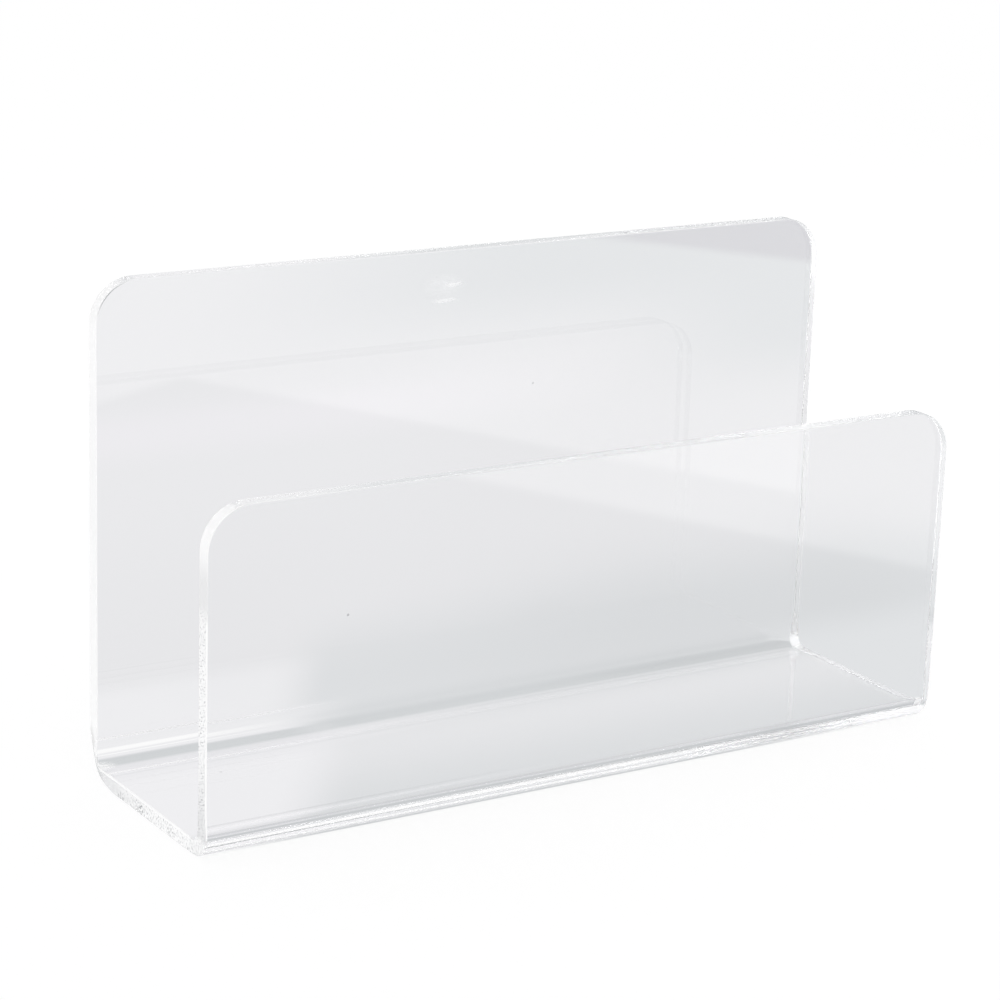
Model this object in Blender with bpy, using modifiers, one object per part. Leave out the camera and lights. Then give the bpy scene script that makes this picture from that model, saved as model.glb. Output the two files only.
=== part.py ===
"""Clear letter organizer: a sheet of acrylic folded twice, into a tall back, a flat base and a lower front.

The front looks towards -Y and the base stands on z = 0, with the origin below its centre. Letters stand on
edge in the slot between front and back, which is open at the top and at both ends.
"""

import math

import bmesh
import bpy

# Driving dimensions, in metres
WIDTH = 0.254
DEPTH = 0.075
BACK_HEIGHT = 0.149
FRONT_HEIGHT = 0.1015
SHEET_THICKNESS = 0.0048
INNER_BEND_RADIUS = 0.0032
CORNER_RADIUS = 0.0132
ARRIS_WIDTH = 0.0003

# How many straight steps stand for each quarter turn
BEND_STEPS = 12
CORNER_STEPS = 12

# Lines of the folded sheet's outer face, measured along it from the front's top edge
OUTER_BEND_RADIUS = INNER_BEND_RADIUS + SHEET_THICKNESS
BEND_LENGTH = OUTER_BEND_RADIUS * math.pi / 2
FRONT_BEND_START = FRONT_HEIGHT - OUTER_BEND_RADIUS
BASE_START = FRONT_BEND_START + BEND_LENGTH
BASE_LENGTH = DEPTH - 2 * OUTER_BEND_RADIUS
BACK_BEND_START = BASE_START + BASE_LENGTH
BACK_START = BACK_BEND_START + BEND_LENGTH
BLANK_LENGTH = BACK_START + BACK_HEIGHT - OUTER_BEND_RADIUS

FRONT_Y = -DEPTH / 2
BACK_Y = DEPTH / 2


def clear_acrylic():
    """Clear acrylic sheet with a polished surface and a faint cool grey."""
    material = bpy.data.materials.new("clear_acrylic")
    material.use_nodes = True
    shader = material.node_tree.nodes["Principled BSDF"]
    shader.inputs["Base Color"].default_value = (0.80, 0.82, 0.84, 1.0)
    shader.inputs["Roughness"].default_value = 0.03
    shader.inputs["Metallic"].default_value = 0.0
    shader.inputs["IOR"].default_value = 1.49
    shader.inputs["Transmission Weight"].default_value = 1.0
    return material


def flat_blank():
    """The sheet before folding: a rectangle with round corners, its length along Y from the front's top edge."""
    blank = bmesh.new()
    bmesh.ops.create_grid(blank, x_segments=1, y_segments=1, size=0.5)
    bmesh.ops.translate(blank, verts=blank.verts, vec=(0.0, 0.5, 0.0))
    bmesh.ops.scale(blank, verts=blank.verts, vec=(WIDTH, BLANK_LENGTH, 1.0))
    bmesh.ops.bevel(
        blank,
        geom=blank.verts[:],
        affect="VERTICES",
        offset=CORNER_RADIUS,
        offset_type="OFFSET",
        segments=CORNER_STEPS,
        profile=0.5,
    )
    return blank


def score_bends(blank):
    """Cuts the blank across at each step of the two bends, so that it can fold there."""
    for bend_start in (FRONT_BEND_START, BACK_BEND_START):
        for step in range(BEND_STEPS + 1):
            distance = bend_start + BEND_LENGTH * step / BEND_STEPS
            bmesh.ops.bisect_plane(
                blank,
                geom=blank.verts[:] + blank.edges[:] + blank.faces[:],
                plane_co=(0.0, distance, 0.0),
                plane_no=(0.0, 1.0, 0.0),
            )


def folded_place(distance):
    """Where a line of the blank lies once folded, as Y and Z, from its distance to the front's top edge."""
    if distance <= FRONT_BEND_START:
        return FRONT_Y, FRONT_HEIGHT - distance
    if distance <= BASE_START:
        turn = (distance - FRONT_BEND_START) / OUTER_BEND_RADIUS
        y = FRONT_Y + OUTER_BEND_RADIUS * (1 - math.cos(turn))
        z = OUTER_BEND_RADIUS * (1 - math.sin(turn))
        return y, z
    if distance <= BACK_BEND_START:
        return FRONT_Y + OUTER_BEND_RADIUS + distance - BASE_START, 0.0
    if distance <= BACK_START:
        turn = (distance - BACK_BEND_START) / OUTER_BEND_RADIUS
        y = BACK_Y - OUTER_BEND_RADIUS * (1 - math.sin(turn))
        z = OUTER_BEND_RADIUS * (1 - math.cos(turn))
        return y, z
    return BACK_Y, OUTER_BEND_RADIUS + distance - BACK_START


def fold(blank):
    """Folds the scored blank up at both bends. Its upper face becomes the inside of the slot."""
    for vertex in blank.verts:
        vertex.co.y, vertex.co.z = folded_place(vertex.co.y)


def folded_sheet(collection):
    """The whole organizer: the folded blank, thickened towards the slot, with its cut edges eased."""
    blank = flat_blank()
    score_bends(blank)
    fold(blank)
    mesh = bpy.data.meshes.new("folded_sheet")
    blank.to_mesh(mesh)
    blank.free()
    mesh.shade_smooth()
    mesh.materials.append(clear_acrylic())

    sheet = bpy.data.objects.new("folded_sheet", mesh)
    collection.objects.link(sheet)

    wall = sheet.modifiers.new("sheet_thickness", "SOLIDIFY")
    wall.thickness = SHEET_THICKNESS
    wall.offset = 1.0
    wall.use_even_offset = True

    arris = sheet.modifiers.new("eased_edges", "BEVEL")
    arris.width = ARRIS_WIDTH
    arris.segments = 1
    arris.limit_method = "ANGLE"
    arris.angle_limit = math.radians(60)
    arris.harden_normals = True
    return sheet


def main():
    for old in list(bpy.data.objects):
        bpy.data.objects.remove(old, do_unlink=True)
    organizer = bpy.data.collections.new("letter_organizer")
    bpy.context.scene.collection.children.link(organizer)
    folded_sheet(organizer)


main()
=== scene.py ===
"""Looks of the clear letter organizer: a folded sheet of acrylic, polished and sawn, on a white table."""

import math

import bmesh
import bpy
from mathutils import Matrix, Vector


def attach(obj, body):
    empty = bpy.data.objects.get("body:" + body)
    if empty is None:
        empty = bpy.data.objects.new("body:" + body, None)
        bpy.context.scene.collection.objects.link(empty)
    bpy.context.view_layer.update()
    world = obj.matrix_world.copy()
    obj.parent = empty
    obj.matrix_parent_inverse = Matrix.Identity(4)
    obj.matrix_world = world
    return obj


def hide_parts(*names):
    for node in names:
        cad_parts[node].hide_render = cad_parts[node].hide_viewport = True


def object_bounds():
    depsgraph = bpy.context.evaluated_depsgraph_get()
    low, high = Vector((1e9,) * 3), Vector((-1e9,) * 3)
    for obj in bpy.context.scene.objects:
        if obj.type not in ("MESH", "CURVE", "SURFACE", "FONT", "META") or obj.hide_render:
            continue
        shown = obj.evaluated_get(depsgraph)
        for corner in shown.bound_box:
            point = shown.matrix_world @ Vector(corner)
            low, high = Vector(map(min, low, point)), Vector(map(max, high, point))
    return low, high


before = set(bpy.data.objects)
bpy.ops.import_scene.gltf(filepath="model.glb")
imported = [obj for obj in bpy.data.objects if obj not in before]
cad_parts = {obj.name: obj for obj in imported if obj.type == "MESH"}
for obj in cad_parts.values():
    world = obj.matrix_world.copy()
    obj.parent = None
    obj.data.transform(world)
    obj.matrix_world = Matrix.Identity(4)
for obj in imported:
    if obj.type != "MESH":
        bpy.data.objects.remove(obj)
CAD_LOW, CAD_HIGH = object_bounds()

# Sizes of the folded sheet, in metres. The overall ones come from the frame
WIDTH = CAD_HIGH.x - CAD_LOW.x
DEPTH = CAD_HIGH.y - CAD_LOW.y
BACK_HEIGHT = CAD_HIGH.z - CAD_LOW.z
FRONT_HEIGHT = 0.1015
SHEET = 0.0048
OUTER_BEND = 0.0080
CORNER_RADIUS = 0.0132
ARRIS = 0.0003

# Lines of the flat blank, as distances along its outer face from the front's top edge
BEND_LENGTH = OUTER_BEND * math.pi / 2
FRONT_BEND = FRONT_HEIGHT - OUTER_BEND
BASE = FRONT_BEND + BEND_LENGTH
BACK_BEND = BASE + DEPTH - 2 * OUTER_BEND
BACK = BACK_BEND + BEND_LENGTH
BLANK_LENGTH = BACK + BACK_HEIGHT - OUTER_BEND

# How finely the sheet is cut up before it is folded
BEND_STEPS = 24
CORNER_STEPS = 24
ARRIS_STEPS = 2
TANGENT_STRIP = 0.0004  # a narrow flat strip beside each bend keeps the panels' shading flat
CUTS_BESIDE_BENDS = (0.007, 0.010, 0.014)
CUTS_FROM_SIDES = (0.001, 0.002, 0.004, 0.007, 0.012, 0.020)
RIM_ANGLE = 1.0  # radians: the blank's rim is sharper than this
FACE_SLOPE = 0.97  # faces of the flat blank that look up or down more than this are polished
SHARP_ANGLE = math.radians(20)

# The bends' ends: heat lets the inside of a bend swell out past the side and draws its outside in. For each
# bend, its middle and both amounts
BEND_ENDS = (
    (FRONT_BEND + BEND_LENGTH / 2, 0.0003, 0.0004),
    (BACK_BEND + BEND_LENGTH / 2, 0.0005, 0.0013),
)
FLARE_REACH = 0.0038
FLARE_SPAN = 0.0085


def on_base(y):
    """Distance along the blank of a line across the base."""
    return BASE + y + DEPTH / 2 - OUTER_BEND


def on_back(z):
    """Distance along the blank of a line across the back."""
    return BACK + z - OUTER_BEND


# Fine lines across the sheet, on one of its faces: the rims of the heated strips, a dark line of painted
# shade above the front's heated strip, and dark lines of painted shade outside the front's bend. Each has its
# place along the blank, its half width, its strength, and where across the blank it is full and gone
HEAT_LINES = (
    (FRONT_BEND - 0.0005, 0.0005, 0.22, (-0.110, 0.000)),
    (BACK_BEND - 0.0040, 0.0007, 0.90, (-0.110, -0.045)),
    (BACK + 0.00485, 0.0005, 0.85, (-0.110, -0.040)),
)
# A dark line of painted shade above the front's heated strip, on the inside face
PAINTED_HEAT_LINE_SHADE = (FRONT_BEND - 0.00155, 0.0005, 0.25, (-0.110, 0.000))
# Dark lines of painted shade outside the front's bend
PAINTED_BEND_SHADE_LINES = (
    (FRONT_BEND + 0.00215, 0.0008, 0.36, (-0.010, -0.070)),
    (FRONT_BEND + 0.00373, 0.0005, 0.95, (-0.110, 0.060)),
    (FRONT_BEND + 0.00690, 0.0018, 0.42, (-0.020, 0.060)),
)

# Marks of making and handling, each a soft oval on the sheet: its middle, as places across and along the
# blank and up from its outer face, its half sizes the same way, and how strong it is
ON_FACE = 0.001  # a mark on one face is less deep than this
OVAL_CORE = 0.3  # a mark is at its strongest up to this share of its half sizes
SMEARS = (
    ((-0.0098, on_back(0.1385), SHEET), (0.0042, 0.0012, ON_FACE), 0.45),
    ((-0.0129, on_back(0.1337), SHEET), (0.0060, 0.0009, ON_FACE), 0.30),
    ((-0.0135, on_back(0.1385), SHEET), (0.0080, 0.0042, ON_FACE), 0.14),
)
SPECKS = (
    ((-0.0450, on_back(0.0399), SHEET), (0.0006, 0.0006, ON_FACE), 0.8),
    ((0.0197, on_back(0.1049), SHEET), (0.0005, 0.0005, ON_FACE), 0.5),
    ((-0.0971, on_base(0.0140), SHEET), (0.0005, 0.0008, ON_FACE), 0.5),
)
# A darker stretch of painted shade outside the front's bend
PAINTED_BEND_SHADE_PATCH = ((0.0700, FRONT_BEND + 0.0046, 0.0), (0.0190, 0.0052, ON_FACE), 0.33)
BEND_SCUFF = ((-0.1262, BACK_BEND + 0.0033, SHEET), (0.0052, 0.0052, ON_FACE), 1.0)
# The chips' darkness in the edge's colour is painted shade
CHIPS = (
    ((-WIDTH / 2, on_base(0.0045), 0.0020), (0.002, 0.0050, 0.0024), 1.0),
    ((-WIDTH / 2, on_base(0.0165), 0.0012), (0.002, 0.0036, 0.0016), 0.8),
    ((-WIDTH / 2, on_base(-0.0160), 0.0017), (0.002, 0.0034, 0.0018), 0.8),
)
# Painted shade: a dark line inside the back's corner
PAINTED_CORNER_SHADE_LINE = ((-WIDTH / 2, BLANK_LENGTH, SHEET), (0.0125, 0.0125, 0.0004), 0.75)
MILKY_ENDS = (
    ((-WIDTH / 2, FRONT_BEND + BEND_LENGTH / 2, SHEET / 2), (0.003, BEND_LENGTH * 0.62, SHEET * 1.6), 1.0),
    ((-WIDTH / 2, BACK_BEND + BEND_LENGTH / 2, SHEET / 2), (0.003, BEND_LENGTH * 0.60, SHEET), 0.9),
)
GLOWING_ENDS = (
    ((WIDTH / 2, BACK_BEND + BEND_LENGTH * 0.64, SHEET / 2), (0.004, BEND_LENGTH * 0.48, SHEET * 1.5), 0.85),
    ((WIDTH / 2, on_base(0), SHEET / 2), (0.004, 0.060, SHEET * 2), 0.16),
    ((WIDTH / 2, on_back(0.136), SHEET / 2), (0.012, 0.013, SHEET * 2), 0.35),
)

# Node settings and values that come up often
SMOOTH = {"interpolation_type": "SMOOTHSTEP"}
PRODUCT = {"operation": "MULTIPLY"}
LARGER = {"operation": "MAXIMUM"}
DIFFERENCE = {"operation": "SUBTRACT"}
SIZE = {"operation": "ABSOLUTE"}
EITHER = {"operation": "ADD", "use_clamp": True}
COLOURS = {"data_type": "RGBA"}
LOCAL = {"vector_type": "TEXTURE"}
FADE_OUT = dict(To_Min=1.0, To_Max=0.0)
BLANK_PLACE = "blank_place"  # the attribute that keeps each point's place on the flat blank

# Acrylic, and the patterns on it by their real sizes in metres
ACRYLIC_IOR = 1.49
STREAK = (1 / 0.006, 1 / 0.001, 1)
STREAK_GAPS = dict(From_Min=0.40, From_Max=0.55, To_Min=0.35, To_Max=1.0)
WIPING_STROKE = (1 / 0.060, 1 / 0.020, 1)
WIPED_ROUGHNESS = dict(From_Min=0.35, From_Max=0.75, To_Min=0.0, To_Max=0.004)
GRIT = (1 / 0.0005, 1 / 0.0004, 1 / 0.0008)
GRIT_SLANT = (0.7, 0, 0)
GRIT_SHOWS = dict(From_Min=0.34, From_Max=0.46)
CRYSTALS = dict(From_Min=0.40, From_Max=0.52, To_Min=0.40, To_Max=1.0)
PITS = dict(From_Min=0.54, From_Max=0.60)
PIT_SCALE = 0.8  # below 1, as pits are a little coarser than the grit
PIT_DEPTH = 0.0001

# Finish of the cut edges. Each is where it changes, across or along the blank or up through the sheet, and
# some say from what to what
SAWN_SIDE = dict(From_Min=-0.1222, From_Max=-0.1160)
RIGHT_SIDE = dict(From_Min=0.106, From_Max=0.116)
FRONT_TOP = dict(From_Min=0.020, From_Max=0.030)
LEFT_STRETCH = dict(From_Min=-0.100, From_Max=-0.070, To_Min=0.4, To_Max=0.0)
RIGHT_STRETCH_START = dict(From_Min=0.040, From_Max=0.065, To_Min=0.0, To_Max=0.75)
RIGHT_STRETCH_END = dict(From_Min=0.078, From_Max=0.100)
SAWN_FROST = 0.85
TOP_FROST = 0.24
UNPOLISHED_FROST = 0.65
BACK_FROST = 0.28
CLEAREST = 0.06
BACK_FROST_START = dict(From_Min=BACK, From_Max=on_back(0.022), To_Min=CLEAREST)
BACK_FROST_END = dict(From_Min=on_back(0.112), From_Max=on_back(0.128), To_Min=BACK_FROST, To_Max=CLEAREST)
OUTER_ARRIS = dict(From_Min=0.0003, From_Max=0.0006)
INNER_ARRIS = dict(From_Min=SHEET - 0.0008, From_Max=SHEET - 0.0005)
LOWER_FRONT = dict(From_Min=0.0265, From_Max=0.0330)
SCRAPER_LIFTED = dict(From_Min=FRONT_BEND, From_Max=FRONT_BEND + 0.003)
BASE_STARTS = dict(From_Min=BASE - 0.002, From_Max=BASE + 0.002)
BACK_BEND_TURN = dict(From_Min=BACK_BEND, From_Max=BACK)
GRIT_ENDS = dict(From_Min=on_base(0.006), From_Max=on_base(0.022))
GREY_STARTS = dict(From_Min=0.012, From_Max=0.022)
GREY = 0.72
GREYER_DOWN = dict(From_Min=0.065, From_Max=FRONT_BEND, To_Min=1.0, To_Max=0.70)
LIGHTER_AGAIN = dict(From_Min=FRONT_BEND, From_Max=BASE, To_Min=0.0, To_Max=0.30)
EDGE_ROUGHNESS = dict(From_Min=0.2, From_Max=0.8, To_Min=0.06, To_Max=0.15)
GLOW = dict(From_Min=FRONT_BEND, From_Max=BASE, To_Min=0.10, To_Max=0.05)
GLOWING_SIDE = dict(From_Min=0.1195, From_Max=0.1245, To_Min=0.0)
ARRIS_GLOW = dict(From_Min=FRONT_BEND - 0.055, From_Max=FRONT_BEND - 0.035, To_Min=5.0, To_Max=0.0)

# The camera, fitted to the sheet's edges in the photograph. Only its lens and sensor are in millimetres
LENS = 111.75
SENSOR = 36
CAMERA_PLACE = (-0.48436, -0.74553, 0.33337)
CAMERA_HEADING = math.radians(-32.38)
CAMERA_PITCH = math.radians(-16.02)
CAMERA_ROLL = math.radians(1.92)
SEES_AS_FAR_AS = 50

# The studio. The floor's tones are the ones that the acrylic shows, painted light and shade that glow:
# mirrored in front of it, seen through it behind. To the eye the floor is white
FLOOR_HALF = 6
FLOOR_GAP = 0.0002  # the floor lies this far below the sheet, so that the two never share a face
PAPER_GLOW = 0.88  # the share of the paper's white that needs no light
VIEW_TURN = math.radians(-32.4)
# The board's corner and what lies beyond it are painted reflection, which only the acrylic sees
BOARD_CORNER = (0.116, -0.4025, 0)
BOARD_TURN = math.atan2(0.89, 0.45)
BOARD_ONE_SIDE = dict(From_Min=-0.002, From_Max=0.006)
BOARD_OTHER_SIDE = dict(From_Min=-0.004, From_Max=0.012)
PAINTED_BOARD_REFLECTION = "#EAEBED"
# The painted tone under the shades behind the object
PAINTED_TONE_BEHIND = "#E8E8EA"
PAINTED_GLOW_BEYOND = "#FFFFFF"
PAINTED_GLOW_GAIN = 1.49
# A painted dark far corner, which only the acrylic sees
PAINTED_FAR_SHADE = "#D2D2D6"
FAR_CORNER_TURN = math.radians(34.5)
FAR_CORNER_EDGE = dict(From_Min=0.745, From_Max=0.775)
BEHIND_FRONT = dict(From_Min=-0.062, From_Max=-0.050)
# A shadow painted in the narrow gap under the bends
PAINTED_GAP_SHADOW = "#CFD1D3"
GAP_ENDS_LEFT = dict(From_Min=-0.1266, From_Max=-0.0800, To_Min=0.0)
GAP_ENDS_RIGHT = dict(From_Min=0.040, From_Max=0.127)
GAP_OPENS = dict(From_Min=0.0314, From_Max=0.0322, To_Max=0.0)
ROOM_TURN = math.radians(-29.3)
ROOM_LEFT = "#F6F5F8"
ROOM_RIGHT = "#E3E5E7"
ROOM_FRONT = "#F0F0F2"
ROOM_HORIZON = "#F0F0F2"
ROOM_LOW_BEHIND = "#C0C1C5"
ROOM_TOP = "#FFFFFF"
ROOM_TOP_GAIN = 1.03
ROOM_CORNER = dict(From_Min=-0.010, From_Max=0.010)
ROOM_LOW_CORNER = dict(From_Min=-0.05, From_Max=0.03)
ROOM_BACK = dict(From_Min=-0.2, From_Max=0.3)
ROOM_WALLS_START = dict(From_Min=0.03, From_Max=0.16)
ROOM_TOP_STARTS = dict(From_Min=0.50, From_Max=0.68)
LAMP_PLACE = (0.9, 0, 0.25)
LAMP_WATTS = 3.0
LAMP_SIZE = 0.5

# Soft painted shades on the floor behind and under the object, which only the acrylic sees, each over the
# ones before it: measured across the view or across the object, where it fades in and out that way, where it
# fades in and out in depth, its colour and its gain. They paint the object's shadow, shade under its bends
# and behind the rear one, and one thin strip of light behind the rear bend
FAR_LEFT = (-9, -8)  # this and the next lie past the floor's edge, so that a shade doesn't end there
FAR_OFF = (8, 9)
LEFT_END = (-0.135, -0.131)  # this and the next lie just past the object's sides
RIGHT_END = (0.131, 0.135)
PAINTED_SHADES = (
    ("view", FAR_LEFT, (-0.09, 0.06), (0.12, 0.32), (0.40, 0.54), "#EBEBED", 1.0),
    ("view", FAR_LEFT, (-0.09, 0.06), (0.33, 0.38), (0.39, 0.46), "#EEEDF0", 1.0),
    ("view", FAR_LEFT, (-0.09, 0.06), (0.39, 0.46), (0.68, 0.76), "#EAEAEC", 1.0),
    ("view", (-0.20, 0.02), FAR_OFF, (0.42, 0.60), FAR_OFF, "#DEE0E2", 1.0),
    ("view", (0.02, 0.13), FAR_OFF, (0.30, 0.44), FAR_OFF, "#DEE0E2", 1.0),
    ("view", (-0.086, -0.064), FAR_OFF, (0.030, 0.040), (0.080, 0.160), "#DDDFE1", 1.0),
    ("view", (-0.07, 0.05), (0.11, 0.17), (0.018, 0.038), (0.060, 0.210), "#D8DADC", 1.0),
    ("object", LEFT_END, RIGHT_END, (-0.0365, -0.0345), (-0.026, 0.020), "#D9DBDD", 1.0),
    ("view", FAR_LEFT, (-0.074, -0.052), (-0.038, -0.020), (0.058, 0.072), "#EFEFF1", 1.0),
    ("view", FAR_LEFT, (-0.087, -0.065), (0.058, 0.072), (0.095, 0.120), "#EFEFF1", 1.0),
    ("object", LEFT_END, (-0.095, -0.085), (-0.0335, -0.0325), (-0.0260, -0.0235), "#E4E4E7", 1.0),
    ("object", (-0.095, -0.085), RIGHT_END, (-0.0335, -0.0325), (-0.0260, -0.0235), "#D7D9DB", 1.0),
    ("object", LEFT_END, RIGHT_END, (-0.0362, -0.0352), (-0.0336, -0.0328), "#DFE0E3", 1.0),
    ("object", LEFT_END, RIGHT_END, (-0.0325, -0.0312), (-0.0290, -0.0280), "#C6C9CB", 1.0),
    ("object", LEFT_END, (-0.060, -0.040), (0.0180, 0.0340), (0.0455, 0.0520), "#E4E4E7", 1.0),
    ("object", LEFT_END, (-0.060, -0.040), (0.0332, 0.0385), (0.0455, 0.0520), "#CDD0D2", 1.0),
    ("object", (-0.060, -0.040), RIGHT_END, (0.0340, 0.0392), (0.0430, 0.0680), "#CDD0D2", 1.0),
    ("object", (0.020, 0.090), RIGHT_END, (0.0345, 0.0396), (0.0450, 0.0620), "#C5C8CA", 1.0),
    ("object", LEFT_END, (-0.090, -0.045), (0.0562, 0.0570), (0.0580, 0.0590), "#FFFFFF", 0.99),
    ("object", RIGHT_END, FAR_OFF, (-0.050, -0.040), (0.038, 0.078), "#E1E3E5", 1.0),
)


def linear(hex_colour, gain=1.0):
    """An sRGB hex colour as the linear values that shaders take, times the gain."""
    parts = [int(hex_colour[i:i + 2], 16) / 255 for i in (1, 3, 5)]
    return [gain * (v / 12.92 if v <= 0.04045 else ((v + 0.055) / 1.055) ** 2.4) for v in parts] + [1.0]


def node(tree, kind, settings=None, **links):
    """Adds a node. Settings are its properties. Links give its inputs, by name or as i and a number, a value,
    another node's socket, or a node, which stands for its first output."""
    made = tree.nodes.new(kind)
    for name, value in (settings or {}).items():
        setattr(made, name, value)
    for name, value in links.items():
        by_number = name[0] == "i" and name[1:].isdigit()
        socket = made.inputs[int(name[1:]) if by_number else name.replace("_", " ")]
        if isinstance(value, bpy.types.Node):
            value = value.outputs[0]
        if isinstance(value, bpy.types.NodeSocket):
            tree.links.new(value, socket)
        else:
            socket.default_value = value
    return made


def new_material(name):
    """A material with an empty node tree, and its output."""
    material = bpy.data.materials.new(name)
    material.use_nodes = True
    tree = material.node_tree
    tree.nodes.clear()
    return material, tree, tree.nodes.new("ShaderNodeOutputMaterial")


def let_lamps_through(tree, output, shader, tint):
    """Clear sheet passes most lamp light, so its shadow is a faint tint and not a solid one."""
    shadow = node(tree, "ShaderNodeLightPath").outputs["Is Shadow Ray"]
    clear = node(tree, "ShaderNodeBsdfTransparent", Color=linear(tint))
    mixed = node(tree, "ShaderNodeMixShader", i0=shadow, i1=shader, i2=clear)
    tree.links.new(mixed.outputs[0], output.inputs["Surface"])


def in_acrylic(tree):
    """Whether a ray comes out of the acrylic: mirrored by it or seen through it."""
    path = node(tree, "ShaderNodeLightPath")
    mirrored, seen_through = path.outputs["Is Glossy Ray"], path.outputs["Is Transmission Ray"]
    return node(tree, "ShaderNodeMath", EITHER, i0=mirrored, i1=seen_through)


def on_sheet(tree):
    """The place on the flat blank, which the sheet keeps as it is folded: whole, across, along and up."""
    place = node(tree, "ShaderNodeAttribute", {"attribute_name": BLANK_PLACE}).outputs["Vector"]
    parts = node(tree, "ShaderNodeSeparateXYZ", Vector=place)
    return place, parts.outputs[0], parts.outputs[1], parts.outputs[2]


def marks(tree, place, spots):
    """Soft ovals on the sheet, as strong as each one says in its middle and nothing outside."""
    found = 0.0
    for middle, size, strength in spots:
        local = node(tree, "ShaderNodeMapping", LOCAL, Vector=place, Location=middle, Scale=size)
        away = node(tree, "ShaderNodeVectorMath", {"operation": "LENGTH"}, i0=local).outputs["Value"]
        oval = node(tree, "ShaderNodeMapRange", SMOOTH, Value=away, From_Min=OVAL_CORE, From_Max=1.0,
                    To_Min=strength, To_Max=0.0)
        found = node(tree, "ShaderNodeMath", LARGER, i0=found, i1=oval)
    return found


def lines_across(tree, across, along, face, lines):
    """Fine soft lines across one face of the sheet, each fading out to one side."""
    found = 0.0
    for line, half_width, strength, (full, gone) in lines:
        off = node(tree, "ShaderNodeMath", DIFFERENCE, i0=along, i1=line)
        away = node(tree, "ShaderNodeMath", SIZE, i0=off)
        near = node(tree, "ShaderNodeMapRange", SMOOTH, Value=away, From_Min=0.0, From_Max=half_width,
                    To_Min=strength, To_Max=0.0)
        fading = node(tree, "ShaderNodeMapRange", SMOOTH, Value=across, From_Min=full, From_Max=gone,
                      **FADE_OUT)
        there = node(tree, "ShaderNodeMath", PRODUCT, i0=near, i1=fading)
        found = node(tree, "ShaderNodeMath", LARGER, i0=found, i1=there)
    return node(tree, "ShaderNodeMath", PRODUCT, i0=found, i1=face)


def polished_acrylic():
    """Cast acrylic with its factory polish: clear and mirror smooth, with a few signs of making and use, and
    painted shade about the front's bend.
    """
    material, tree, output = new_material("polished_clear_acrylic")
    place, across, along, up = on_sheet(tree)
    inside = node(tree, "ShaderNodeMath", {"operation": "GREATER_THAN"}, i0=up, i1=SHEET / 2)
    outside = node(tree, "ShaderNodeMath", {"operation": "LESS_THAN"}, i0=up, i1=SHEET / 2)
    # Milky: the rims of the heated strips, smears from wiping, and a scuff where the rear bend's end was
    # held, the last two broken up in streaks a millimetre wide
    streaks = node(tree, "ShaderNodeMapping", Vector=place, Scale=STREAK)
    broken = node(tree, "ShaderNodeTexNoise", Vector=streaks, Scale=1.0, Detail=2.0)
    patchy = node(tree, "ShaderNodeMapRange", SMOOTH, Value=broken, **STREAK_GAPS)
    rubbed = marks(tree, place, SMEARS + (BEND_SCUFF,))
    smeared = node(tree, "ShaderNodeMath", PRODUCT, i0=rubbed, i1=patchy)
    heated = lines_across(tree, across, along, inside, HEAT_LINES)
    milk = node(tree, "ShaderNodeMath", LARGER, i0=heated, i1=smeared)
    clear = node(tree, "ShaderNodeMath", DIFFERENCE, i0=1.0, i1=milk)
    # Dark: a few specks, and painted shade: a dark line above the front's heated strip, and dark lines and a
    # darker stretch outside the front's bend
    painted_heat_line_shade = lines_across(tree, across, along, inside, (PAINTED_HEAT_LINE_SHADE,))
    painted_bend_lines = lines_across(tree, across, along, outside, PAINTED_BEND_SHADE_LINES)
    lined = node(tree, "ShaderNodeMath", LARGER, i0=painted_heat_line_shade, i1=painted_bend_lines)
    spotted = marks(tree, place, SPECKS + (PAINTED_BEND_SHADE_PATCH,))
    dark = node(tree, "ShaderNodeMath", LARGER, i0=spotted, i1=lined)
    colour = node(tree, "ShaderNodeMix", COLOURS, Factor=dark, i6=linear("#FEFEFE"), i7=linear("#77797B"))
    # Wiping leaves the polish uneven in strokes about 6 cm long and 2 cm wide, which show only in a highlight
    strokes = node(tree, "ShaderNodeMapping", Vector=place, Scale=WIPING_STROKE)
    wiped = node(tree, "ShaderNodeTexNoise", Vector=strokes, Scale=1.0, Detail=2.0)
    rough = node(tree, "ShaderNodeMapRange", Value=wiped, **WIPED_ROUGHNESS)
    shader = node(tree, "ShaderNodeBsdfPrincipled", Base_Color=colour.outputs[2], Roughness=rough,
                  IOR=ACRYLIC_IOR, Transmission_Weight=clear)
    let_lamps_through(tree, output, shader, "#FBFBFC")
    return material


def edge_frost(tree, across, along, sawn, right_side):
    """How milky the cut edges are. The saw left the left side so, up to half way round the corners. The tops
    and the right side were polished again, less so up the back and hardly towards the ends of the front's
    top."""
    on_front = node(tree, "ShaderNodeMapRange", SMOOTH, Value=along, **FRONT_TOP, **FADE_OUT)
    start = node(tree, "ShaderNodeMapRange", SMOOTH, Value=across, **RIGHT_STRETCH_START)
    end = node(tree, "ShaderNodeMapRange", SMOOTH, Value=across, **RIGHT_STRETCH_END, **FADE_OUT)
    right_stretch = node(tree, "ShaderNodeMath", PRODUCT, i0=start, i1=end)
    left_stretch = node(tree, "ShaderNodeMapRange", SMOOTH, Value=across, **LEFT_STRETCH)
    stretches = node(tree, "ShaderNodeMath", LARGER, i0=right_stretch, i1=left_stretch)
    unpolished = node(tree, "ShaderNodeMath", PRODUCT, i0=stretches, i1=on_front)
    tops = node(tree, "ShaderNodeMix", Factor=unpolished, i2=TOP_FROST, i3=UNPOLISHED_FROST)
    back_end = node(tree, "ShaderNodeMapRange", SMOOTH, Value=along, **BACK_FROST_END)
    right = node(tree, "ShaderNodeMapRange", SMOOTH, Value=along, **BACK_FROST_START, To_Max=back_end)
    polished = node(tree, "ShaderNodeMix", Factor=right_side, i2=tops, i3=right)
    return node(tree, "ShaderNodeMix", Factor=sawn, i2=polished, i3=SAWN_FROST)


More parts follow.
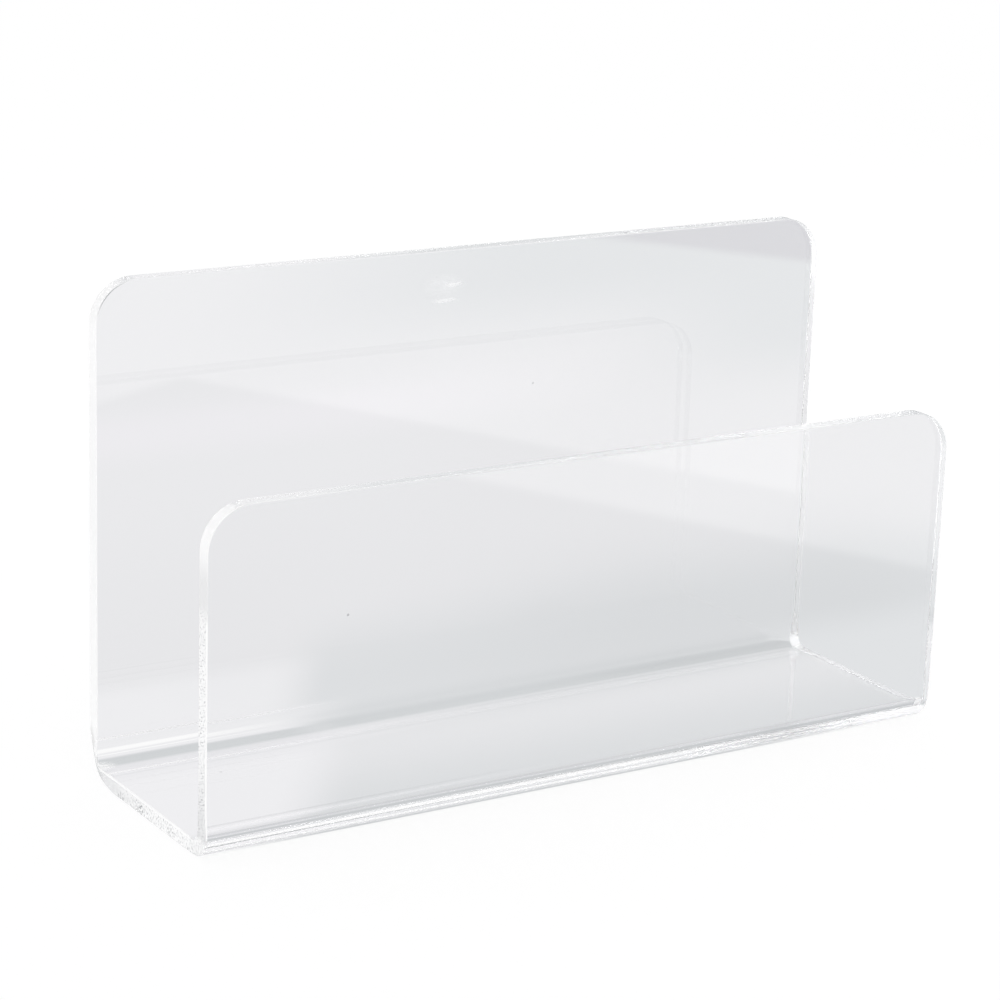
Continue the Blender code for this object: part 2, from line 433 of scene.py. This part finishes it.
def scraped_arrises(tree, along, sawn, outer_arris, inner_arris, lower, before_back):
    """Two of the left arrises, which a scraper broke into white lines half a millimetre wide: the lower two
    thirds of the front's outer one, and the base's inner one."""
    above_bend = node(tree, "ShaderNodeMapRange", SMOOTH, Value=along, **SCRAPER_LIFTED, **FADE_OUT)
    reach = node(tree, "ShaderNodeMath", PRODUCT, i0=lower, i1=above_bend)
    on_front = node(tree, "ShaderNodeMath", PRODUCT, i0=outer_arris, i1=reach)
    past_bend = node(tree, "ShaderNodeMapRange", SMOOTH, Value=along, **BASE_STARTS)
    arris = node(tree, "ShaderNodeMix", Factor=past_bend, i2=on_front, i3=inner_arris)
    arris = node(tree, "ShaderNodeMath", PRODUCT, i0=arris, i1=before_back)
    return node(tree, "ShaderNodeMath", PRODUCT, i0=arris, i1=sawn)


def edge_lightness(tree, along, sawn, grains, lower, before_grit_ends, before_back):
    """How light the cut edges are. The left side is greyer from under the front's corner to the rear bend,
    and gritty from two thirds up the front to past the middle of the base, greyest at the front's foot."""
    gritty = node(tree, "ShaderNodeMath", PRODUCT, i0=lower, i1=before_grit_ends)
    greyer = node(tree, "ShaderNodeMapRange", SMOOTH, Value=along, **GREYER_DOWN)
    lighter = node(tree, "ShaderNodeMapRange", SMOOTH, Value=along, **LIGHTER_AGAIN)
    lit = node(tree, "ShaderNodeMath", {"operation": "ADD"}, i0=greyer, i1=lighter)
    grit = node(tree, "ShaderNodeMapRange", SMOOTH, Value=grains, **GRIT_SHOWS, To_Min=0.0, To_Max=lit)
    tone = node(tree, "ShaderNodeMix", Factor=gritty, i2=GREY, i3=grit)
    below = node(tree, "ShaderNodeMapRange", SMOOTH, Value=along, **GREY_STARTS)
    low = node(tree, "ShaderNodeMath", PRODUCT, i0=below, i1=before_back)
    grey = node(tree, "ShaderNodeMath", PRODUCT, i0=low, i1=sawn)
    return node(tree, "ShaderNodeMix", Factor=grey, i2=1.0, i3=tone)


def edge_glow(tree, place, across, along, outer_arris, inner_arris):
    """How far the right side, seen from inside the sheet, glows with the light that falls on it: most at the
    rear bend and on the arrises of the front's upper half."""
    level = node(tree, "ShaderNodeMapRange", SMOOTH, Value=along, **GLOW)
    side = node(tree, "ShaderNodeMapRange", SMOOTH, Value=across, **GLOWING_SIDE, To_Max=level)
    arrises = node(tree, "ShaderNodeMath", LARGER, i0=outer_arris, i1=inner_arris)
    on_front = node(tree, "ShaderNodeMapRange", SMOOTH, Value=along, **ARRIS_GLOW)
    arrises = node(tree, "ShaderNodeMath", PRODUCT, i0=arrises, i1=on_front)
    arrises = node(tree, "ShaderNodeMath", PRODUCT, i0=arrises, i1=side)
    most = node(tree, "ShaderNodeMath", LARGER, i0=side, i1=arrises)
    return node(tree, "ShaderNodeMath", LARGER, i0=most, i1=marks(tree, place, GLOWING_ENDS))


def sawn_acrylic():
    """Acrylic edge, sawn and scraped: milky on the left and gritty low down, clearer where polished again.
    Its chips and a line in the back's corner are painted dark as shade, and its milk is painted a little
    greyer on the right.
    """
    material, tree, output = new_material("sawn_acrylic_edge")
    place, across, along, up = on_sheet(tree)
    sawn = node(tree, "ShaderNodeMapRange", SMOOTH, Value=across, **SAWN_SIDE, **FADE_OUT)
    right_side = node(tree, "ShaderNodeMapRange", SMOOTH, Value=across, **RIGHT_SIDE)
    outer_arris = node(tree, "ShaderNodeMapRange", SMOOTH, Value=up, **OUTER_ARRIS, **FADE_OUT)
    inner_arris = node(tree, "ShaderNodeMapRange", SMOOTH, Value=up, **INNER_ARRIS)
    lower = node(tree, "ShaderNodeMapRange", SMOOTH, Value=along, **LOWER_FRONT)
    before_grit_ends = node(tree, "ShaderNodeMapRange", SMOOTH, Value=along, **GRIT_ENDS, **FADE_OUT)
    before_back = node(tree, "ShaderNodeMapRange", SMOOTH, Value=along, **BACK_BEND_TURN, **FADE_OUT)
    # Slanted grit of half a millimetre, which also breaks up the white of the front bend's end
    slanted = node(tree, "ShaderNodeMapping", Vector=place, Rotation=GRIT_SLANT, Scale=GRIT)
    grains = node(tree, "ShaderNodeTexNoise", Vector=slanted, Scale=1.0, Detail=2.0)
    crystals = node(tree, "ShaderNodeMapRange", SMOOTH, Value=grains, **CRYSTALS)
    broken = node(tree, "ShaderNodeMix", Factor=before_grit_ends, i2=1.0, i3=crystals)
    bend_ends = node(tree, "ShaderNodeMath", PRODUCT, i0=marks(tree, place, MILKY_ENDS), i1=broken)
    scraped = scraped_arrises(tree, along, sawn, outer_arris, inner_arris, lower, before_back)
    white = node(tree, "ShaderNodeMath", LARGER, i0=scraped, i1=bend_ends)
    frost = edge_frost(tree, across, along, sawn, right_side)
    milk = node(tree, "ShaderNodeMath", LARGER, i0=frost, i1=white)
    clear = node(tree, "ShaderNodeMath", DIFFERENCE, i0=1.0, i1=milk)
    lightness = edge_lightness(tree, along, sawn, grains, lower, before_grit_ends, before_back)
    lightest = node(tree, "ShaderNodeMath", LARGER, i0=lightness, i1=white)
    # The milk is painted a little greyer on the right side, as shade
    milk_painted_greyer_on_right = node(tree, "ShaderNodeMix", COLOURS, Factor=right_side, i6=linear("#FFFFFF"),
                 i7=linear("#EEEFF0"))
    ground = node(tree, "ShaderNodeMix", COLOURS, Factor=lightest, i6=linear("#B0B1B4"), i7=milk_painted_greyer_on_right.outputs[2])
    # Clusters of chips, whose broken faces turn away from the light, painted dark as their shade, and a dark
    # line of painted shade inside the back's corner
    pits = node(tree, "ShaderNodeTexNoise", Vector=slanted, Scale=PIT_SCALE, Detail=2.0)
    pitted = node(tree, "ShaderNodeMapRange", SMOOTH, Value=pits, **PITS)
    chipped = node(tree, "ShaderNodeMath", PRODUCT, i0=marks(tree, place, CHIPS), i1=pitted)
    darker = node(tree, "ShaderNodeMath", LARGER, i0=chipped, i1=marks(tree, place, (PAINTED_CORNER_SHADE_LINE,)))
    colour = node(tree, "ShaderNodeMix", COLOURS, Factor=darker, i6=ground.outputs[2], i7=linear("#74787B"))
    relief = node(tree, "ShaderNodeBump", Strength=0.5, Distance=PIT_DEPTH, Height=chipped)
    rough = node(tree, "ShaderNodeMapRange", Value=milk, **EDGE_ROUGHNESS)
    shader = node(tree, "ShaderNodeBsdfPrincipled", Base_Color=colour.outputs[2], Roughness=rough,
                  IOR=ACRYLIC_IOR, Transmission_Weight=clear, Normal=relief)
    glowing = edge_glow(tree, place, across, along, outer_arris, inner_arris)
    glow = node(tree, "ShaderNodeBsdfTranslucent", Color=linear("#FFFFFF"))
    frosted = node(tree, "ShaderNodeMixShader", i0=glowing, i1=shader, i2=glow)
    let_lamps_through(tree, output, frosted, "#F0F0F1")
    return material


def score(blank, normal, distances):
    """Cuts the flat blank along lines square to the normal, so that it can bend or swell there."""
    for distance in distances:
        bmesh.ops.bisect_plane(blank, geom=blank.verts[:] + blank.edges[:] + blank.faces[:],
                               plane_co=[distance * c for c in normal], plane_no=normal)


def folded_place(distance, height):
    """Where a point of the blank lies once folded, as Y and Z, from its distance along the blank and its
    height above the outer face."""
    front, back = -DEPTH / 2, DEPTH / 2
    radius = OUTER_BEND - height
    if distance <= FRONT_BEND:
        return front + height, FRONT_HEIGHT - distance
    if distance <= BASE:
        turn = (distance - FRONT_BEND) / OUTER_BEND
        return front + OUTER_BEND - radius * math.cos(turn), OUTER_BEND - radius * math.sin(turn)
    if distance <= BACK_BEND:
        return front + OUTER_BEND + distance - BASE, height
    if distance <= BACK:
        turn = (distance - BACK_BEND) / OUTER_BEND
        return back - OUTER_BEND + radius * math.sin(turn), OUTER_BEND - radius * math.cos(turn)
    return back - height, OUTER_BEND + distance - BACK


def flare(distance, height, x):
    """How far the heat of a bend moves a point along X: out on the inside of the bend, in on its outside."""
    middle, swell, draw = min(BEND_ENDS, key=lambda end: abs(distance - end[0]))
    from_end = WIDTH / 2 - abs(x)
    near = math.exp(-((distance - middle) / FLARE_SPAN) ** 4) * math.exp(-from_end / FLARE_REACH)
    return near * ((swell + draw) * height / SHEET - draw) * (1 if x > 0 else -1)


def flat_blank():
    """The sheet before folding: a rectangle with round corners and eased edges, cut up where it will bend."""
    blank = bmesh.new()
    bmesh.ops.create_grid(blank, x_segments=1, y_segments=1, size=0.5)
    bmesh.ops.translate(blank, verts=blank.verts, vec=(0, 0.5, 0))
    bmesh.ops.scale(blank, verts=blank.verts, vec=(WIDTH, BLANK_LENGTH, 1))
    bmesh.ops.bevel(blank, geom=blank.verts[:], affect="VERTICES", offset=CORNER_RADIUS, offset_type="OFFSET",
                    segments=CORNER_STEPS, profile=0.5, material=-1)
    for start in (FRONT_BEND, BACK_BEND):
        score(blank, (0, 1, 0), [start - TANGENT_STRIP, start + BEND_LENGTH + TANGENT_STRIP])
        score(blank, (0, 1, 0), [start + BEND_LENGTH * i / BEND_STEPS for i in range(BEND_STEPS + 1)])
        score(blank, (0, 1, 0), [start - d for d in CUTS_BESIDE_BENDS])
        score(blank, (0, 1, 0), [start + BEND_LENGTH + d for d in CUTS_BESIDE_BENDS])
    for side in (-1, 1):
        score(blank, (side, 0, 0), [WIDTH / 2 - d for d in CUTS_FROM_SIDES])
    bmesh.ops.solidify(blank, geom=blank.faces[:], thickness=-SHEET)
    bmesh.ops.recalc_face_normals(blank, faces=blank.faces)
    low = min(v.co.z for v in blank.verts)
    bmesh.ops.translate(blank, verts=blank.verts, vec=(0, 0, -low))
    rim = [e for e in blank.edges if len(e.link_faces) == 2 and e.calc_face_angle() > RIM_ANGLE]
    bmesh.ops.bevel(blank, geom=rim, affect="EDGES", offset=ARRIS, offset_type="OFFSET", segments=ARRIS_STEPS,
                    profile=0.5, material=-1)
    return blank


def acrylic_sheet():
    """The folded sheet: polished faces and sawn edges, and each point keeps its place on the flat blank."""
    blank = flat_blank()
    for face in blank.faces:
        face.smooth = True
        face.material_index = 1 if abs(face.normal.z) < FACE_SLOPE else 0
    flat_place = blank.verts.layers.float_vector.new(BLANK_PLACE)
    for vertex in blank.verts:
        vertex[flat_place] = vertex.co
        x, distance, height = vertex.co
        y, z = folded_place(distance, height)
        vertex.co = (x + flare(distance, height, x), y, z)
    mesh = bpy.data.meshes.new("acrylic_sheet")
    blank.to_mesh(mesh)
    blank.free()
    mesh.set_sharp_from_angle(angle=SHARP_ANGLE)
    mesh.materials.append(polished_acrylic())
    mesh.materials.append(sawn_acrylic())
    sheet = bpy.data.objects.new("acrylic_sheet", mesh)
    bpy.context.scene.collection.objects.link(sheet)
    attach(sheet, "root")
    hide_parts("folded_sheet")


def camera():
    """The photograph's view: a long lens from the front left, a little above, turned slightly."""
    data = bpy.data.cameras.new("camera")
    data.lens = LENS
    data.sensor_width = SENSOR
    data.clip_end = SEES_AS_FAR_AS
    shot = bpy.data.objects.new("camera", data)
    bpy.context.scene.collection.objects.link(shot)
    turn = Matrix.Rotation(CAMERA_HEADING, 3, "Z") @ Matrix.Rotation(math.radians(90) + CAMERA_PITCH, 3, "X")
    turn = turn @ Matrix.Rotation(CAMERA_ROLL, 3, "Z")
    shot.matrix_world = Matrix.Translation(CAMERA_PLACE) @ turn.to_4x4()
    bpy.context.scene.camera = shot


def floor_in_front(tree, place):
    """The floor's colour in front of the object, which the panels mirror: a painted reflection of the near
    corner of the board that it stands on, darker than what lies beyond, which is painted brighter than white."""
    board = node(tree, "ShaderNodeMapping", LOCAL, Vector=place, Location=BOARD_CORNER,
                 Rotation=(0, 0, BOARD_TURN))
    sides = node(tree, "ShaderNodeSeparateXYZ", Vector=board)
    one_side = node(tree, "ShaderNodeMapRange", SMOOTH, Value=sides.outputs[0], **BOARD_ONE_SIDE)
    other_side = node(tree, "ShaderNodeMapRange", SMOOTH, Value=sides.outputs[1], **BOARD_OTHER_SIDE)
    on_board = node(tree, "ShaderNodeMath", PRODUCT, i0=one_side, i1=other_side)
    front = node(tree, "ShaderNodeMix", COLOURS, Factor=on_board, i6=linear(PAINTED_GLOW_BEYOND, PAINTED_GLOW_GAIN),
                 i7=linear(PAINTED_BOARD_REFLECTION))
    return front.outputs[2]


def floor_behind(tree, place, spot):
    """The floor's colour behind and under the object, seen through it: painted soft shades and shadow, a
    painted strip of light, and a painted dark far corner.
    """
    view = node(tree, "ShaderNodeMapping", LOCAL, Vector=place, Rotation=(0, 0, VIEW_TURN))
    across = {"view": node(tree, "ShaderNodeSeparateXYZ", Vector=view).outputs[0], "object": spot.outputs[0]}
    depth = spot.outputs[1]
    shade = linear(PAINTED_TONE_BEHIND)
    for way, left, right, near, deep, colour, gain in PAINTED_SHADES:
        fades = ((across[way], left, 0), (across[way], right, 1), (depth, near, 0), (depth, deep, 1))
        amount = 1.0
        for value, (start, end), before in fades:
            fade = node(tree, "ShaderNodeMapRange", SMOOTH, Value=value, From_Min=start, From_Max=end,
                        To_Min=before, To_Max=1 - before)
            amount = node(tree, "ShaderNodeMath", PRODUCT, i0=amount, i1=fade)
        shaded = node(tree, "ShaderNodeMix", COLOURS, Factor=amount, i6=shade, i7=linear(colour, gain))
        shade = shaded.outputs[2]
    corner = node(tree, "ShaderNodeMapping", LOCAL, Vector=place, Rotation=(0, 0, FAR_CORNER_TURN))
    outwards = node(tree, "ShaderNodeSeparateXYZ", Vector=corner).outputs[0]
    far = node(tree, "ShaderNodeMapRange", SMOOTH, Value=outwards, **FAR_CORNER_EDGE)
    return node(tree, "ShaderNodeMix", COLOURS, Factor=far, i6=shade, i7=linear(PAINTED_FAR_SHADE)).outputs[2]


def paper(tree, spot):
    """The floor to the eye: white paper with the object's faint shadow, and a dark shadow painted only in the
    narrow gap under its bends."""
    inwards = node(tree, "ShaderNodeMath", SIZE, i0=spot.outputs[1])
    right_end = node(tree, "ShaderNodeMapRange", SMOOTH, Value=spot.outputs[0], **GAP_ENDS_RIGHT, **FADE_OUT)
    gap = node(tree, "ShaderNodeMapRange", SMOOTH, Value=spot.outputs[0], **GAP_ENDS_LEFT, To_Max=right_end)
    under = node(tree, "ShaderNodeMapRange", SMOOTH, Value=inwards, **GAP_OPENS, To_Min=gap)
    # The narrow gap under the bends is painted dark, as shadow
    tone = node(tree, "ShaderNodeMix", COLOURS, Factor=under, i6=linear("#FFFFFF"), i7=linear(PAINTED_GAP_SHADOW))
    white = node(tree, "ShaderNodeEmission", Color=tone.outputs[2])
    paint = node(tree, "ShaderNodeBsdfDiffuse", Color=tone.outputs[2])
    return node(tree, "ShaderNodeMixShader", i0=PAPER_GLOW, i1=paint, i2=white)


def white_table_and_painted_shades():
    """White table: white to the eye, and in the acrylic a glow painted light grey, with painted shades,
    shadow and light.
    """
    material, tree, output = new_material("white_table_and_painted_shades")
    place = node(tree, "ShaderNodeTexCoord").outputs["Object"]
    spot = node(tree, "ShaderNodeSeparateXYZ", Vector=place)
    behind = node(tree, "ShaderNodeMapRange", SMOOTH, Value=spot.outputs[1], **BEHIND_FRONT)
    shown = node(tree, "ShaderNodeMix", COLOURS, Factor=behind, i6=floor_in_front(tree, place),
                 i7=floor_behind(tree, place, spot))
    # What the acrylic sees of the floor glows with painted light and shade
    mirrored = node(tree, "ShaderNodeEmission", Color=shown.outputs[2])
    whole = node(tree, "ShaderNodeMixShader", i0=in_acrylic(tree), i1=paper(tree, spot), i2=mirrored)
    tree.links.new(whole.outputs[0], output.inputs["Surface"])
    return material


def floor():
    """The table that the object stands on."""
    bm = bmesh.new()
    bmesh.ops.create_grid(bm, x_segments=1, y_segments=1, size=FLOOR_HALF)
    mesh = bpy.data.meshes.new("floor")
    bm.to_mesh(mesh)
    bm.free()
    mesh.materials.append(white_table_and_painted_shades())
    plane = bpy.data.objects.new("floor", mesh)
    plane.location.z = -FLOOR_GAP
    bpy.context.scene.collection.objects.link(plane)


def room():
    """A pale room, brightest overhead and darker low behind on the right. The acrylic shows it, and
    everything else is lit by plain white."""
    world = bpy.data.worlds.new("studio")
    world.use_nodes = True
    bpy.context.scene.world = world
    tree = world.node_tree
    tree.nodes.clear()
    output = tree.nodes.new("ShaderNodeOutputWorld")
    way = node(tree, "ShaderNodeTexCoord").outputs["Generated"]
    turned = node(tree, "ShaderNodeMapping", LOCAL, Vector=way, Rotation=(0, 0, ROOM_TURN))
    rightwards, backwards, upwards = node(tree, "ShaderNodeSeparateXYZ", Vector=turned).outputs
    right = node(tree, "ShaderNodeMapRange", SMOOTH, Value=rightwards, **ROOM_CORNER)
    wall = node(tree, "ShaderNodeMix", COLOURS, Factor=right, i6=linear(ROOM_LEFT), i7=linear(ROOM_RIGHT))
    behind = node(tree, "ShaderNodeMapRange", SMOOTH, Value=backwards, **ROOM_BACK)
    around = node(tree, "ShaderNodeMix", COLOURS, Factor=behind, i6=linear(ROOM_FRONT), i7=wall.outputs[2])
    low_right = node(tree, "ShaderNodeMapRange", SMOOTH, Value=rightwards, **ROOM_LOW_CORNER)
    low_behind = node(tree, "ShaderNodeMath", PRODUCT, i0=low_right, i1=behind)
    horizon = node(tree, "ShaderNodeMix", COLOURS, Factor=low_behind, i6=linear(ROOM_HORIZON),
                   i7=linear(ROOM_LOW_BEHIND))
    up = node(tree, "ShaderNodeMapRange", SMOOTH, Value=upwards, **ROOM_WALLS_START)
    walls = node(tree, "ShaderNodeMix", COLOURS, Factor=up, i6=horizon.outputs[2], i7=around.outputs[2])
    overhead = node(tree, "ShaderNodeMapRange", SMOOTH, Value=upwards, **ROOM_TOP_STARTS)
    whole = node(tree, "ShaderNodeMix", COLOURS, Factor=overhead, i6=walls.outputs[2],
                 i7=linear(ROOM_TOP, ROOM_TOP_GAIN))
    seen = node(tree, "ShaderNodeBackground", Color=whole.outputs[2], Strength=1.0)
    white = node(tree, "ShaderNodeBackground", Color=linear("#FFFFFF"), Strength=1.0)
    both = node(tree, "ShaderNodeMixShader", i0=in_acrylic(tree), i1=white, i2=seen)
    tree.links.new(both.outputs[0], output.inputs["Surface"])


def right_lamp():
    """A soft lamp on the right, whose light falls on the sheet's right side."""
    data = bpy.data.lights.new("right_lamp", "AREA")
    data.energy = LAMP_WATTS
    data.size = LAMP_SIZE
    lamp = bpy.data.objects.new("right_lamp", data)
    lamp.matrix_world = Matrix.Translation(LAMP_PLACE) @ Matrix.Rotation(math.radians(90), 4, "Y")
    lamp.visible_glossy = False
    lamp.visible_transmission = False
    bpy.context.scene.collection.objects.link(lamp)


acrylic_sheet()
floor()
room()
right_lamp()
camera()

scene = bpy.context.scene
scene.view_settings.view_transform = "Standard"
# Light runs along inside the sheet from face to face many times before it leaves by an edge
scene.cycles.max_bounces = 192
scene.cycles.glossy_bounces = 192
scene.cycles.transmission_bounces = 64
